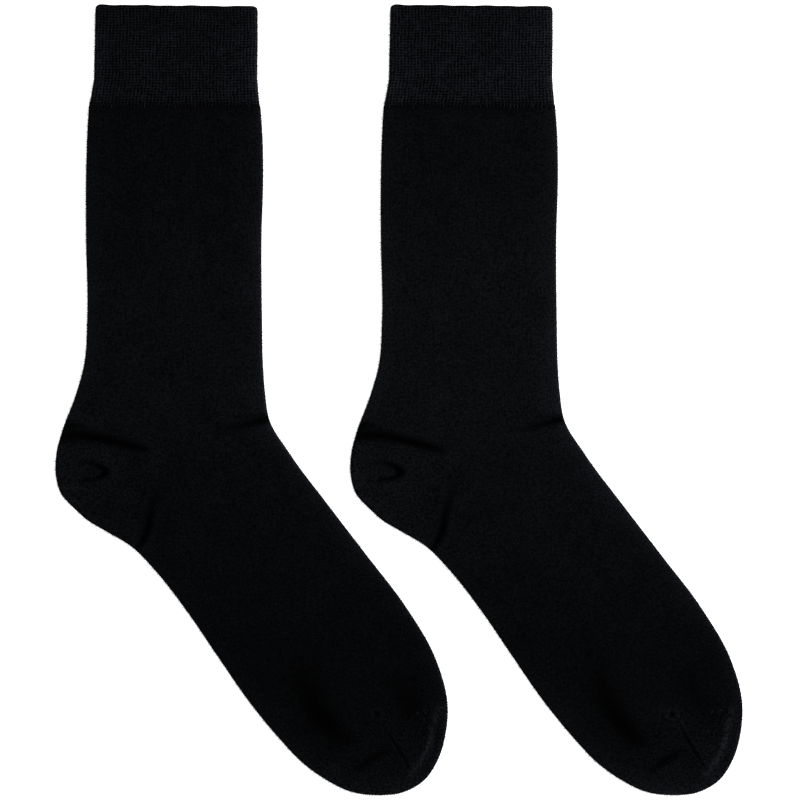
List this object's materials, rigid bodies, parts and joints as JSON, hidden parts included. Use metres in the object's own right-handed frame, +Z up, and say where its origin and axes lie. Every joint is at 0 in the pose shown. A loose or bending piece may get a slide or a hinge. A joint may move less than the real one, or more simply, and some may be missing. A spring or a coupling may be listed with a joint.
{
  "type": "pair of dress socks laid flat",
  "caption": "Pair of plain dark mid-calf dress socks with rib cuffs, turned heels and turned toes, lying flat side by side.",
  "frame": {"origin": "middle of the box round both socks, on the surface they lie on", "axes": "+Y towards the cuffs, +X towards the toes' side, +Z up from the surface"},
  "size_m": [0.3642, 0.4192, 0.0039],
  "materials": {
    "rib_knit": "dull doubled rib knit with fine ribs and courses, slightly fuzzy",
    "plain_knit": "dull fine jersey knit",
    "plated_knit": "dull fine plated jersey knit"
  },
  "bodies": {
    "root": {"left_cuff": "rib_knit", "left_leg": "plain_knit", "left_heel": "plated_knit", "left_foot": "plain_knit", "left_toe": "plated_knit", "right_cuff": "rib_knit", "right_leg": "plain_knit", "right_heel": "plated_knit", "right_foot": "plain_knit", "right_toe": "plated_knit"}
  },
  "joints": []
}
